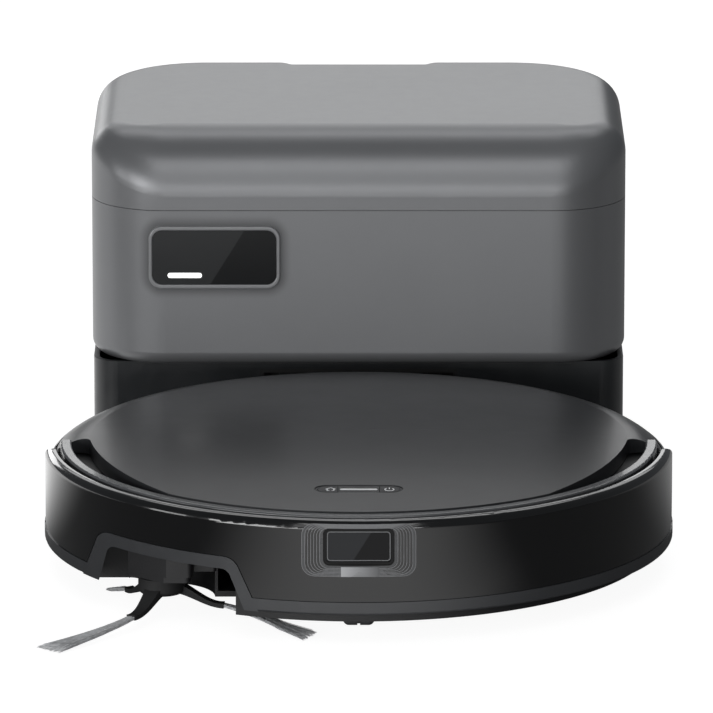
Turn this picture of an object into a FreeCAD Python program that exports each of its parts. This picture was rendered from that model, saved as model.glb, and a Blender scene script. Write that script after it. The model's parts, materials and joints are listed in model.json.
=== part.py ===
import FreeCAD, Part
import os, math

# Robot vacuum docked on its self-emptying station. Millimetres, +Z up.
# Local axes while modelling: the robot's centre is X = Y = 0, the floor is
# z = 0, the robot's front faces -Y and the station stands behind it at +Y.
# At the end everything is shifted along Y so that the origin is the middle
# of the whole assembly's footprint.

# ---------------------------------------------------------------- dimensions
SHIFT_Y = -96.3190       # local -> row frame, along Y

# robot
R_SKIRT = 163.0          # lower skirt strip
R_BUMP = 162.5           # front bumper, outside
BUMP_WALL = 2.7
Z_SKIRT0, Z_SKIRT1 = 16.8, 23.5
Z_BUMP1 = 65.5
R_RING0, R_RING1 = 148.7, 154.5
Z_RING1 = 66.2
R_COVER_F, R_COVER_R = 148.0, 156.5
COVER_SAG = 5.2          # crown height lost at r = 148
Z_CROWN = 72.0
COVER_T = 2.2
R_CHASSIS = 153.0
Z_CH0, Z_CH1 = 11.0, 14.0
Z_DECK0, Z_DECK1 = 56.0, 58.5
R_SHELL = 161.0          # rear half shell

# moving parts of the robot
WHEEL_R, WHEEL_X, WHEEL_Z = 27.0, 120.0, 27.0
ARM_Y, ARM_Z = -44.0, 32.0
BRUSH_Y, BRUSH_Z, BRUSH_R = 31.0, 21.0, 19.0
SB_X, SB_Y = -100.0, -106.0       # side brush shaft
SB_TIP_R = 86.5
CAST_Y, CAST_TRAIL, CAST_R = -122.0, 4.0, 15.0
BUMP_END_Y = -5.8        # the bumper's ends
SHELL_END_Y = -2.8       # the rear shell's ends

# station
ST_X = 143.5             # half width of the housing and the lid
ST_Y0, ST_Y1 = 158.0, 363.0
ST_Z0, ST_Z1, ST_Z2 = 66.4, 151.4, 192.2     # bottom, seam, top
ST_RF, ST_RR = 40.0, 60.0         # plan corner radii, front and rear
ST_TOP_R, ST_TOP_SIDE = 33.0, 16.5   # rounding of the top: front edge, sides and back
ST_WALL = 3.0
SEAM = 0.3
COL_X, COL_Y0, COL_Y1 = 142.5, 168.0, 361.0  # lower column
BAY_X, BAY_Y = 53.0, 176.0        # dock bay
HINGE_Y, HINGE_Z = 366.3, 151.5
PLATE_Y0 = 48.0

V = FreeCAD.Vector
os.makedirs("parts", exist_ok=True)


# ------------------------------------------------------------------- helpers
def box(x0, x1, y0, y1, z0, z1):
    return Part.makeBox(x1 - x0, y1 - y0, z1 - z0, V(x0, y0, z0))


def cyl(r, z0, z1, x=0.0, y=0.0):
    return Part.makeCylinder(r, z1 - z0, V(x, y, z0))


def cylx(r, x0, x1, y, z):
    return Part.makeCylinder(r, x1 - x0, V(x0, y, z), V(1, 0, 0))


def cyly(r, y0, y1, x, z):
    return Part.makeCylinder(r, y1 - y0, V(x, y0, z), V(0, 1, 0))


def ring(ro, ri, z0, z1, x=0.0, y=0.0):
    return cyl(ro, z0, z1, x, y).cut(cyl(ri, z0 - 1, z1 + 1, x, y))


def poly(pts):
    return Part.Face(Part.makePolygon([V(*p) for p in pts] + [V(*pts[0])]))


def prism_z(pts, z0, z1):
    return poly([(x, y, z0) for x, y in pts]).extrude(V(0, 0, z1 - z0))


def prism_y(pts, y0, y1):
    return poly([(x, y0, z) for x, z in pts]).extrude(V(0, y1 - y0, 0))


def prism_x(pts, x0, x1):
    return poly([(x0, y, z) for y, z in pts]).extrude(V(x1 - x0, 0, 0))


def fuse(*shapes):
    s = shapes[0]
    if len(shapes) > 1:
        s = s.multiFuse(list(shapes[1:]))
    return s.removeSplitter()


def cut(s, *tools):
    for t in tools:
        s = s.cut(t)
    return s


def edges_along(s, axis):
    """Straight edges parallel to X, Y or Z."""
    out = []
    for e in s.Edges:
        if len(e.Vertexes) == 2 and "Line" in str(e.Curve):
            d = e.Vertexes[1].Point - e.Vertexes[0].Point
            comp = {"X": (d.y, d.z), "Y": (d.x, d.z), "Z": (d.x, d.y)}[axis]
            if max(abs(comp[0]), abs(comp[1])) < 1e-6:
                out.append(e)
    return out


def fillet(s, r, cond, why=""):
    es = [e for e in s.Edges if cond(e)]
    if not es:
        print("no edge to round", why)
        return s
    try:
        t = s.makeFillet(r, es)
        if t.isValid() and t.Volume > 0 and len(t.Solids) == len(s.Solids):
            return t
    except Exception as err:
        print("rounding left out", why, err)
        return s
    print("rounding left out, result not sound", why)
    return s


def bb(e):
    return e.BoundBox


def kind(e):
    try:
        return str(e.Curve)
    except TypeError:
        return "Other"


def rbox(x0, x1, y0, y1, z0, z1, r, axis="Z"):
    b = box(x0, x1, y0, y1, z0, z1)
    return b.makeFillet(r, edges_along(b, axis))


def mirror_x(s):
    return s.mirror(V(0, 0, 0), V(1, 0, 0))


def revolve(pts, a0=0.0, a1=360.0):
    """Polygon in (r, z), turned about Z from angle a0 to a1 (degrees)."""
    f = poly([(r, 0, z) for r, z in pts])
    s = f.revolve(V(0, 0, 0), V(0, 0, 1), a1 - a0)
    s.rotate(V(0, 0, 0), V(0, 0, 1), a0)
    return s


NODES = {}


def put(name, shape):
    NODES[name] = shape


# ================================================================ ROBOT
FRONT = box(-200, 200, -200, BUMP_END_Y, 0, 100)      # where the bumper is
REAR = box(-200, 200, SHELL_END_Y, 200, 0, 100)

# the side brush's cut-out, seen from the front: (x, z)
CUT_IN = [(-134.5, 8), (-127.0, 37.2), (-66.0, 37.2), (-54.0, 8)]
CUT_OUT = [(-143.7, 8), (-131.5, 43.5), (-63.0, 43.5), (-46.4, 8)]


def grown(pts, g):
    (x0, z0), (x1, z1), (x2, z2), (x3, z3) = pts
    return [(x0 - g, z0), (x1 - g, z1 + g), (x2 + g, z2 + g), (x3 + g, z3)]


def rounded_prism(pts, r):
    p = prism_y(pts, -172, -70)
    top = max(z for x, z in pts)
    return p.makeFillet(r, [e for e in edges_along(p, "Y")
                            if abs(bb(e).ZMax - top) < 0.01])


p_in = rounded_prism(CUT_IN, 5.0)
p_out = rounded_prism(CUT_OUT, 8.0)
p_out_gap = rounded_prism(grown(CUT_OUT, 0.25), 8.2)

# --- bumper
w = Part.Wire([
    Part.makeLine(V(R_BUMP - BUMP_WALL, 0, Z_SKIRT1 + 0.2), V(R_BUMP, 0, Z_SKIRT1 + 0.2)),
    Part.makeLine(V(R_BUMP, 0, Z_SKIRT1 + 0.2), V(R_BUMP, 0, Z_BUMP1 - 4.5)),
    Part.Arc(V(R_BUMP, 0, Z_BUMP1 - 4.5),
             V(R_BUMP - 4.5 * (1 - math.sin(math.radians(45))), 0,
               Z_BUMP1 - 4.5 * (1 - math.sin(math.radians(45)))),
             V(R_BUMP - 4.5, 0, Z_BUMP1)).toShape(),
    Part.makeLine(V(R_BUMP - 4.5, 0, Z_BUMP1), V(157.5, 0, Z_BUMP1)),
    Part.makeLine(V(157.5, 0, Z_BUMP1), V(157.5, 0, 62.8)),
    Part.makeLine(V(157.5, 0, 62.8), V(R_BUMP - BUMP_WALL, 0, 62.8)),
    Part.makeLine(V(R_BUMP - BUMP_WALL, 0, 62.8), V(R_BUMP - BUMP_WALL, 0, Z_SKIRT1 + 0.2)),
])
bumper = Part.Face(w).revolve(V(0, 0, 0), V(0, 0, 1), 360).common(FRONT)
win = rbox(-17.8, 17.8, -170, -150, 42.7, 61.9, 3.0, "Y")
end_cut = prism_x([(-19, 70), (-19, 65.7), (-15, 65.2), (-11.5, 63.8), (-8.5, 61.2), (-6.6, 57.8), (-5.6, 53.5), (-5.6, 70)], -170, -140)
bumper = cut(bumper, win, p_out_gap, end_cut, mirror_x(end_cut))
put("bumper", bumper)

# --- bumper skirt: the strip under the bumper and the frame of the cut-out
band = ring(R_SKIRT, R_BUMP - BUMP_WALL, Z_SKIRT0, Z_SKIRT1)
band = fillet(band, 1.2, lambda e: abs(bb(e).ZMin - Z_SKIRT0) < 0.01 and bb(e).XMax > 162, "skirt foot")
arch = ring(R_SKIRT, R_BUMP - BUMP_WALL, Z_SKIRT0, 44.0).common(p_out)
arch = arch.common(box(-200, 0, -200, 0, 0, 100))
skirt = fuse(band.common(FRONT), arch)
skirt = cut(skirt, p_in)
put("bumper_skirt", skirt)

# --- sensor bezel and glass
bez = rbox(-17.6, 17.6, -161.4, -157.5, 42.9, 61.7, 2.8, "Y")
bez = cut(bez, rbox(-16.3, 16.3, -162, -159.2, 44.3, 60.3, 1.6, "Y"),
          rbox(-15.0, 15.0, -163, -150, 45.6, 59.0, 1.2, "Y"))
put("sensor_bezel", bez)
put("sensor_window", rbox(-16.2, 16.2, -160.6, -159.2, 44.4, 60.2, 1.5, "Y"))

# --- top cover
def dome_solid(drop, inset, z0):
    def z_at(r):
        return Z_CROWN - COVER_SAG * (r / R_COVER_F) ** 2 - drop
    re = R_COVER_R - 4.5
    w = Part.Wire([
        Part.Arc(V(0, 0, Z_CROWN - drop), V(re / 2, 0, z_at(re / 2)), V(re - inset, 0, z_at(re - inset))).toShape(),
        Part.Arc(V(re - inset, 0, z_at(re - inset)), V(re - inset + 3.3, 0, z_at(re) - 1.45),
                 V(R_COVER_R - inset, 0, z_at(re) - 5.0)).toShape(),
        Part.makeLine(V(R_COVER_R - inset, 0, z_at(re) - 5.0), V(R_COVER_R - inset, 0, z0)),
        Part.makeLine(V(R_COVER_R - inset, 0, z0), V(0, 0, z0)),
        Part.makeLine(V(0, 0, z0), V(0, 0, Z_CROWN - drop)),
    ])
    return Part.Face(w).revolve(V(0, 0, 0), V(0, 0, 1), 360)


def cover_plan(d, z0, z1):
    r = R_COVER_R - d
    a = (R_COVER_F - d) / 148.0
    xs = 139.5 - d
    p = Part.Wire([
        Part.Arc(V(r, d, z0), V(0, math.sqrt(r * r), z0), V(-r, d, z0)).toShape(),
        Part.makeLine(V(-r, d, z0), V(-xs, d, z0)),
        Part.Arc(V(-xs, d, z0), V(-(124.5 - 0.9 * d), -62 + 0.3 * d, z0), V(-96 * a, -112.6 * a, z0)).toShape(),
        Part.Arc(V(-96 * a, -112.6 * a, z0), V(0, -148 * a, z0), V(96 * a, -112.6 * a, z0)).toShape(),
        Part.Arc(V(96 * a, -112.6 * a, z0), V(124.5 - 0.9 * d, -62 + 0.3 * d, z0), V(xs, d, z0)).toShape(),
        Part.makeLine(V(xs, d, z0), V(r, d, z0)),
    ])
    s = Part.Face(p).extrude(V(0, 0, z1 - z0))
    rr = 5.0 - d * 0.8
    es = [e for e in edges_along(s, "Z") if abs(bb(e).YMin - d) < 0.01 and abs(bb(e).XMin) > 150]
    s = s.makeFillet(rr, es)
    es = [e for e in edges_along(s, "Z") if abs(bb(e).YMin - d) < 0.01 and 130 < abs(bb(e).XMin) < 146]
    return s.makeFillet(8.0 + d * 0.4, es)


cover = dome_solid(0.0, 0.0, 59.2).common(cover_plan(0.0, 55, 80))
def rim_tool(drop, inset, z0, z1):
    """Everything above the long rounding of the cover's rear rim."""
    w = Part.Wire([
        Part.Arc(V(139.0, 0, 67.42 - drop), V(149.5 - inset * 0.6, 0, 64.5 - drop), V(157.5 - inset, 0, z0)).toShape(),
        Part.makeLine(V(157.5 - inset, 0, z0), V(170, 0, z0)),
        Part.makeLine(V(170, 0, z0), V(170, 0, z1)),
        Part.makeLine(V(170, 0, z1), V(139.0, 0, z1)),
        Part.makeLine(V(139.0, 0, z1), V(139.0, 0, 67.42 - drop))])
    return Part.Face(w).revolve(V(0, 0, 0), V(0, 0, 1), 360).common(box(-200, 200, -30, 200, 0, 100))


cover = cut(cover, rim_tool(0.0, 0.0, 59.4, 80.0))
inner = cut(dome_solid(COVER_T, 1.8, 50.0), rim_tool(COVER_T, 1.8, 58.2, 80.0)).common(cover_plan(1.8, 52, 80))
cover = cut(cover, inner)
PILL_Y, PILL_W, PILL_H = -111.0, 44.4, 12.0


def pill(wd, ht, z0, z1, y=PILL_Y):
    b = box(-wd / 2, wd / 2, y - ht / 2, y + ht / 2, z0, z1)
    return b.makeFillet(ht / 2 - 0.01, edges_along(b, "Z"))


cover = cut(cover, pill(PILL_W + 0.6, PILL_H + 0.6, 50, 80))
put("top_cover", cover)

# --- button bezel on the deck, with the two buttons and the light bar
dome_low = dome_solid(0.35, 0.0, 40.0)
bez = pill(PILL_W, PILL_H, Z_DECK1, 75).common(dome_low)


def half_pill(g, z0, z1, side):
    """Button well or cap: g is how much smaller than the well it is."""
    p = pill(PILL_W - 2.4 - 2 * g, PILL_H - 2.0 - 2 * g, z0, z1)
    if side < 0:
        return p.common(box(-40, -10.4 - g, -130, -90, z0, z1))
    return p.common(box(10.4 + g, 40, -130, -90, z0, z1))


bez = cut(bez, half_pill(0, 63.6, 80, -1), half_pill(0, 63.6, 80, 1))
led = box(-9.5, 9.5, PILL_Y - 1.2, PILL_Y + 1.2, 67.2, 80)
led = led.makeFillet(1.15, edges_along(led, "Z"))
bez = cut(bez, led.common(box(-40, 40, -200, 0, 68.3, 90)))      # shallow seat of the light bar
put("button_bezel", bez)
low2 = dome_solid(0.30, 0.0, 40.0)
put("button_home", half_pill(0.3, 64.9, 80, -1).common(low2))
put("button_power", half_pill(0.3, 64.9, 80, 1).common(low2))

# --- chassis
ch = cyl(R_CHASSIS, Z_CH0, Z_CH1)
adds = [ring(R_CHASSIS, 150.0, Z_CH1, Z_DECK0)]
bh = cut(box(-91.4, 91.4, 6.5, 55.5, Z_CH1, 47.5), box(-90, 90, 8, 54, 0, 46))
well = []
for s in (-1, 1):
    xa, xb = sorted((s * 91.5, s * 133.5))
    xc, xd = sorted((s * 93.0, s * 132.0))
    adds.append(cut(box(xa, xb, -63.5, 35.5, Z_CH1, Z_DECK0), box(xc, xd, -62, 34, 0, 80)))
    well.append(box(xc, xd, -62, 34, 0, Z_DECK0))
adds.append(cyl(24.5, Z_CH1, 44.0, 0, CAST_Y))
sb_liner = fuse(cyl(28.5, Z_CH1, 40.5, SB_X, SB_Y), box(-135.5, -60.5, -150, SB_Y, Z_CH1, 40.5),
                box(-152.0, -108.5, -107, -67.5, Z_CH1, 40.5))
adds.append(sb_liner.common(cyl(R_CHASSIS, 0, 60)))
ch = fuse(ch, *adds)
sb_pocket = fuse(cyl(27.0, 0, 39.0, SB_X, SB_Y), box(-134, -62, -170, SB_Y, 0, 39.0), rbox(-170.0, -110, -112, -69, -5, 39.0, 8.0, "Z"))
ch = cut(ch, sb_pocket, box(-90, 90, 8, 54, 0, 46), *well)
ch = cut(ch, cyl(22.5, 0, 34.0, 0, CAST_Y), cyl(4.05, 30, 50, 0, CAST_Y))
ch = cut(ch, box(-19, 19, -160, -135, 42.5, 60))                    # laser module
ch = cut(ch, box(-25.5, 25.5, 140, 170, 16.5, 42.0))                 # evacuation duct
bh = cut(bh, box(-25, 25, 52, 58, 22, 38))                           # dirt inlet
put("brush_housing", bh)
CLIFF = [(48.0, -133.0), (-48.0, -133.0), (112.0, -86.0)]
for x, y in CLIFF:
    ch = cut(ch, rbox(x - 8, x + 8, y - 4, y + 4, 0, 20, 2.0, "Z"))
pivots = []
for s in (-1, 1):
    xa, xb = sorted((s * 91.5, s * 110.5))
    pivots.append(cylx(2.5, xa, xb, ARM_Y, ARM_Z))
    ch = cut(ch, cylx(2.5, min(s * 88, s * 95), max(s * 88, s * 95), ARM_Y, ARM_Z))
SCREWS = [(-30, -96, 0), (60, -60, 0), (-60, -60, 0), (80, -110, 0), (0, 66, 0), (100, 92, 0), (-100, 92, 0),
          (60, 134, 0), (-60, 134, 0), (142, 20, 0), (-142, 20, 0)]
SCREWS = [(x, y) for x, y, _ in SCREWS if math.hypot(x, y) < 149]
for x, y in SCREWS:
    ch = cut(ch, cyl(3.0, 0, 12.6, x, y))
ch = fuse(ch, *pivots)
du = cut(box(-24, 24, 130.3, 160.0, 17.5, 41.0), box(-22, 22, 129, 162, 19.5, 39.0))
put("evacuation_duct", fuse(du, box(-25.4, 25.4, 144.0, 146.0, 16.6, 42.0).cut(box(-22, 22, 140, 150, 10, 39.0)),
                            box(-4, 4, 131, 140, Z_CH1, 17.6)))
put("chassis", ch)
scr = []
for x, y in SCREWS:
    h = cyl(2.9, 11.2, 12.6, x, y)
    h = cut(h, box(x - 1.8, x + 1.8, y - 0.35, y + 0.35, 11.0, 11.9), box(x - 0.35, x + 0.35, y - 1.8, y + 1.8, 11.0, 11.9))
    scr.append(h)
put("chassis_screws", Part.makeCompound(scr))
put("cliff_sensors", Part.makeCompound(
    [rbox(x - 8, x + 8, y - 4, y + 4, 11.3, 16.0, 2.0, "Z") for x, y in CLIFF]))

# --- rear shell and rear skirt
sh = revolve([(R_CHASSIS, 17), (R_SHELL, 17), (R_SHELL, 53.0), (160.7, 55.2), (160.0, 57.0), (158.9, 58.3), (157.9, 58.9),
              (157.9, 57), (158.5, 56), (158.5, 19), (R_CHASSIS, 19)]).common(REAR)
port = rbox(-26.5, 26.5, 140, 175, 15.5, 42.5, 3.0, "Y")
slots = []
for k in range(9):
    for s in (-1, 1):
        b = box(154, 170, -1.1, 1.1, 30, 50)
        b.rotate(V(0, 0, 0), V(0, 0, 1), 90 + s * (42 + 3.2 * k))
        slots.append(b)
sh = cut(sh, port, *slots)
pad_l = rbox(-45, -31, 150, 170, 38, 50, 1.5, "Y")
pad_r = rbox(31, 45, 150, 170, 38, 50, 1.5, "Y")
sh = cut(sh, pad_l, pad_r)
put("rear_shell", sh)
# the port splits this strip in two arcs: left and right of x = 26.5
skirt_profile = [(R_SHELL, Z_SKIRT0), (R_SKIRT - 1.0, Z_SKIRT0), (R_SKIRT - 0.3, Z_SKIRT0 + 0.3), (R_SKIRT, Z_SKIRT0 + 1.0),
                 (R_SKIRT, Z_SKIRT1), (R_SHELL, Z_SKIRT1)]
a_end = math.degrees(math.asin(SHELL_END_Y / R_SKIRT))
a_port = math.degrees(math.acos(26.6 / 162.0))
put("rear_skirt", Part.makeCompound([revolve(skirt_profile, a_end, a_port), revolve(skirt_profile, 180 - a_port, 180 - a_end)]))
pr = ring(161.15, 158.9, 30, 60)
put("charge_pads", Part.makeCompound([pr.common(pad_l), pr.common(pad_r)]))

# --- deck under the cover and the ring band round it
dk = fuse(cyl(157.5, Z_DECK0, Z_DECK1).common(box(-200, 200, 0, 200, 0, 100)),
          cyl(R_RING1, Z_DECK0, Z_DECK1))
dk = cut(dk, box(-64, 64, 56.3, 132, 0, 100))
for x, y in [(-110, -20), (110, -20), (-90, 100), (90, 100), (0, -60)]:
    dk = fuse(dk, cut(cyl(4, Z_DECK1, 61.5, x, y), cyl(1.4, 59, 62, x, y)))
put("deck", dk)
rb = ring(R_RING1, R_RING0, Z_DECK1, Z_RING1).common(box(-200, 200, -200, -0.5, 0, 100))
rb = fillet(rb, 1.0, lambda e: abs(bb(e).ZMin - Z_RING1) < 0.01 and bb(e).XLength > 100, "ring edge")
put("ring_band", rb)

# --- side brush drive and side brush
gb = fuse(rbox(-117, -84, -127, -86, 26.6, 36.6, 3.0, "Z"), rbox(-116, -85, -126, -87, 23.6, 27.0, 3.0, "Z"),
          rbox(-85.0, -72, -118, -107, 27.5, 36.6, 2.0, "Z"), cyl(9.5, 22.7, 24, SB_X, SB_Y),
          box(-122.2, -116, -111, -109.6, 22, 36.6), box(-122.2, -121.0, -121, -109.6, 22, 36.6),
          box(-119.2, -118.2, -119, -109.6, 22, 36.6))
gb = gb.common(cyl(160.0, 0, 60))
gb = fuse(gb, rbox(-112, -88, -112, -90, 36.0, 39, 2.0, "Z").common(cyl(151.0, 0, 60)))
gb = cut(gb, cyl(3.05, 10, 33, SB_X, SB_Y))
put("side_brush_gearbox", gb)

hub = fuse(cyl(12.0, 13.6, 22.2, SB_X, SB_Y), cyl(3.0, 22.0, 31, SB_X, SB_Y))
hub = fillet(hub, 2.5, lambda e: abs(bb(e).ZMax - 13.6) < 0.01 and bb(e).XLength > 15, "hub foot")
hub = cut(hub, cyl(4.0, 10, 15.2, SB_X, SB_Y))
ARMS = [(0.0, -28.0, SB_TIP_R), (126.0, -10.0, 58.0), (247.0, -18.0, SB_TIP_R)]      # root angle, sweep and reach of the tip


def polar(r, a):
    return SB_X + r * math.cos(math.radians(a)), SB_Y + r * math.sin(math.radians(a))


def section(r, a, wd, z0, z1, lean=0.0):
    x, y = polar(r, a)
    t = math.radians(a + 90 + lean)
    dx, dy = math.cos(t) * wd / 2, math.sin(t) * wd / 2
    return Part.makePolygon([V(x - dx, y - dy, z0), V(x + dx, y + dy, z0), V(x + dx, y + dy, z1),
                             V(x - dx, y - dy, z1), V(x - dx, y - dy, z0)])


roots, tufts = [], []
for a0, sw, rt in ARMS:
    roots.append(Part.makeLoft([section(8.5, a0, 9.0, 13.9, 18.6), section(15, a0 + sw * 0.05, 7.5, 11.4, 15.4),
                                section(21, a0 + sw * 0.12, 6.4, 8.8, 11.7), section(32, a0 + sw * 0.28, 5.0, 6.6, 9.2)], True, False))
    q = (rt - 32.0) / 54.5
    tufts.append(Part.makeLoft([section(32, a0 + sw * 0.28, 4.6, 6.8, 9.0), section(32 + 18 * q, a0 + sw * 0.60, 7.4, 4.4, 6.6),
                                section(32 + 36 * q, a0 + sw * 0.86, 12.0, 2.2, 4.4), section(rt, a0 + sw, 16.4 * q ** 0.5, 0.5, 2.6)],
                               True, False))
hub = fuse(hub, *roots)
put("side_brush_bristles", Part.makeCompound(tufts))
ss = cyl(3.6, 13.4, 15.4, SB_X, SB_Y)
ss = cut(ss, box(SB_X - 2.4, SB_X + 2.4, SB_Y - 0.5, SB_Y + 0.5, 13, 14.3), box(SB_X - 0.5, SB_X + 0.5, SB_Y - 2.4, SB_Y + 2.4, 13, 14.3))

put("side_brush_hub", fuse(hub, ss))

# --- caster
wc_y = CAST_Y + CAST_TRAIL
fk_ = cyl(16.0, 7.5, 33.0, 0, CAST_Y)
fk_ = fillet(fk_, 2.0, lambda e: abs(bb(e).ZMax - 7.5) < 0.01, "fork foot")
fk_ = cut(fk_, cylx(15.6, -8.6, 8.6, wc_y, CAST_R), box(-8.6, 8.6, wc_y - 15.6, wc_y + 15.6, 0, CAST_R))
fk_ = fuse(fk_, cyl(4.0, 32.5, 43.0, 0, CAST_Y))
fk_ = fuse(fk_, cylx(1.5, -13.0, 13.0, wc_y, CAST_R))
put("caster_fork", fk_)
cw = cylx(CAST_R, -8.0, 8.0, wc_y, CAST_R)
cw = fillet(cw, 3.0, lambda e: "Circle" in kind(e), "caster wheel")
cw = cut(cw, cylx(1.55, -9, 9, wc_y, CAST_R), ring(CAST_R + 2, CAST_R - 1.0, -0.8, 0.8).copy())
gr = Part.makeCylinder(CAST_R + 2, 1.4, V(-0.7, wc_y, CAST_R), V(1, 0, 0)).cut(
    Part.makeCylinder(CAST_R - 0.8, 1.4, V(-0.7, wc_y, CAST_R), V(1, 0, 0)))
cw = cut(cw, gr)
put("caster_wheel", cw)


# --- drive wheels (made at +X, mirrored for -X)
def wheel_parts():
    arm = fuse(cylx(9.0, 96.0, 108.5, ARM_Y, ARM_Z), cylx(16.0, 96.0, 108.5, 0, WHEEL_Z),
               prism_x([(ARM_Y, ARM_Z + 9), (ARM_Y, ARM_Z - 9), (0, WHEEL_Z - 14.5), (0, WHEEL_Z + 15.5)], 96.0, 108.5),
               cylx(11.0, 94.0, 97.0, -16, 30))
    arm = cut(arm, cylx(2.55, 90, 115, ARM_Y, ARM_Z))
    arm = fillet(arm, 1.5, lambda e: abs(bb(e).XMin - 108.5) < 0.01 and abs(bb(e).XMax - 108.5) < 0.01
                 and (bb(e).YLength > 12 or bb(e).ZLength > 12), "arm face")
    arm = fuse(arm, cylx(3.0, 104, 128.4, 0, WHEEL_Z), cylx(4.6, 127.3, 128.4, 0, WHEEL_Z))
    hubw = cut(cylx(21.5, 111.6, 128.6, 0, WHEEL_Z), cylx(17.5, 123.5, 130, 0, WHEEL_Z),
               cylx(3.05, 110, 130, 0, WHEEL_Z))
    spokes = []
    for k in range(5):
        b = box(123.4, 126.6, -1.6, 1.6, WHEEL_Z + 7.0, WHEEL_Z + 18.2)
        b.rotate(V(0, 0, WHEEL_Z), V(1, 0, 0), 72 * k)
        spokes.append(b)
    boss = cut(cylx(7.6, 123.4, 127.0, 0, WHEEL_Z), cylx(3.05, 110, 130, 0, WHEEL_Z))
    hubw = fuse(hubw, boss, *spokes)
    tyre = cut(cylx(WHEEL_R, 111.0, 129.0, 0, WHEEL_Z), cylx(21.5, 110, 130, 0, WHEEL_Z))
    tyre = fillet(tyre, 1.2, lambda e: "Circle" in kind(e) and bb(e).YLength > 50, "tyre edge")
    grooves = []
    for k in range(24):
        g = box(112.6, 127.4, -1.0, 1.0, WHEEL_Z + WHEEL_R - 1.4, WHEEL_Z + WHEEL_R + 2)
        g.rotate(V(0, 0, WHEEL_Z), V(1, 0, 0), 15 * k + 7.5)
        grooves.append(g)
    tyre = tyre.cut(Part.makeCompound(grooves))
    return arm, hubw, tyre


arm, hubw, tyre = wheel_parts()
put("right_wheel_arm", arm)
put("right_wheel_hub", hubw)
put("right_tyre", tyre)
put("left_wheel_arm", mirror_x(arm))
put("left_wheel_hub", mirror_x(hubw))
put("left_tyre", mirror_x(tyre))

# --- main brush
core = fuse(cylx(9.0, -85, 85, BRUSH_Y, BRUSH_Z), cylx(12.0, -85, -82.5, BRUSH_Y, BRUSH_Z),
            cylx(12.0, 82.5, 85, BRUSH_Y, BRUSH_Z), cylx(3.0, -89.5, 89.5, BRUSH_Y, BRUSH_Z))
fins = []
for k in range(6):
    b = box(-81.5, 81.5, -1.1, 1.1, 8.6, BRUSH_R - 0.2)
    b.rotate(V(0, 0, 0), V(1, 0, 0), 60 * k)
    b.translate(V(0, BRUSH_Y, BRUSH_Z))
    fins.append(b)
fins = fuse(*fins) if False else Part.makeCompound([cut(b, cylx(9.0, -86, 86, BRUSH_Y, BRUSH_Z)) for b in fins])
put("main_brush_core", core)
put("main_brush_bristles", fins)
gd = cut(rbox(-89.6, 89.6, 7.0, 55.0, 8.0, 11.0, 3.0, "Z"), rbox(-86, 86, 12.0, 50.0, 0, 20, 3.0, "Z"))
tab = rbox(-12, 12, 50.0, 58.5, 8.0, 11.0, 2.0, "Z")
gd = fuse(gd, tab)
put("brush_guard", gd)

# --- dust box, filter, fan motor, brush motor, duct
DBX, DY0, DY1 = 62.0, 58.0, 130.0
db = rbox(-DBX, DBX, DY0, DY1, 16.0, 56.0, 4.0, "Z")
db = cut(db, rbox(-DBX + 1.8, DBX - 1.8, DY0 + 1.8, DY1 - 1.8, 17.8, 60, 2.5, "Z"),
         box(-24, 24, 50, 62, 23, 37), box(-22, 22, 126, 140, 20, 38))
db = fillet(db, 0.8, lambda e: abs(bb(e).ZMin - 16) < 0.01 and abs(bb(e).ZMax - 16) < 0.01, "dust box foot")
put("dust_box", db)
dl = rbox(-DBX, DBX, DY0, DY1, 56.0, 59.6, 4.0, "Z")
dl = cut(dl, rbox(-20, 20, 100, 118, 57.6, 62, 4.0, "Z"))
dl = fuse(dl, rbox(-18, 18, 107.5, 110.5, 57.2, 60.4, 1.2, "Z"))
dl = fillet(dl, 0.8, lambda e: abs(bb(e).ZMin - 59.6) < 0.01 and bb(e).XLength > 60, "dust box lid")
put("dust_box_lid", dl)
fil = [rbox(30, 58, 66, 120, 22, 24, 0.8, "Z"), ]
pleats = [box(30.5, 57.5, 68 + 4.2 * k, 70 + 4.2 * k, 24, 48) for k in range(12)]
put("dust_filter", fuse(fil[0], *pleats))
put("fan_motor", fuse(cyl(22, 16, 46, 98, 80), cyl(12, 46, 50, 98, 80)))
put("brush_motor", fuse(rbox(-92, -66, 60, 100, 16, 40, 3, "Z"), cyly(9, 100, 112, -79, 28)))
put("battery", rbox(-40, 40, -90, -30, 16, 38, 4, "Z"))
mb = box(-76, 76, -90, 2, 42, 43.6)
chips = [box(-50, -30, -70, -50, 43.6, 46), box(10, 26, -40, -24, 43.6, 45.6), box(40, 64, -80, -66, 43.6, 49),
         cyl(5, 43.6, 52, -62, -20), cyl(5, 43.6, 52, -62, -34), box(-20, 0, -84, -76, 43.6, 49)]
put("main_board", fuse(mb, *chips))
lm = fuse(rbox(-15, 15, -152.6, -138, 44, 55.6, 1.5, "Y"), cyly(4.2, -153.6, -152.6, -7.5, 50), cyly(4.2, -153.6, -152.6, 7.5, 50))
put("laser_module", lm)

# ================================================================ STATION
def st_prism(z0, z1, d, y1=ST_Y1, rr=ST_RR):
    b = box(-ST_X + d, ST_X - d, ST_Y0 + d, y1 - d, z0, z1)
    b = b.makeFillet(ST_RF - d, [e for e in edges_along(b, "Z") if bb(e).YMin < ST_Y0 + d + 1])
    return b.makeFillet(rr - d, [e for e in edges_along(b, "Z") if bb(e).YMin > y1 - d - 1])


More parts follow.
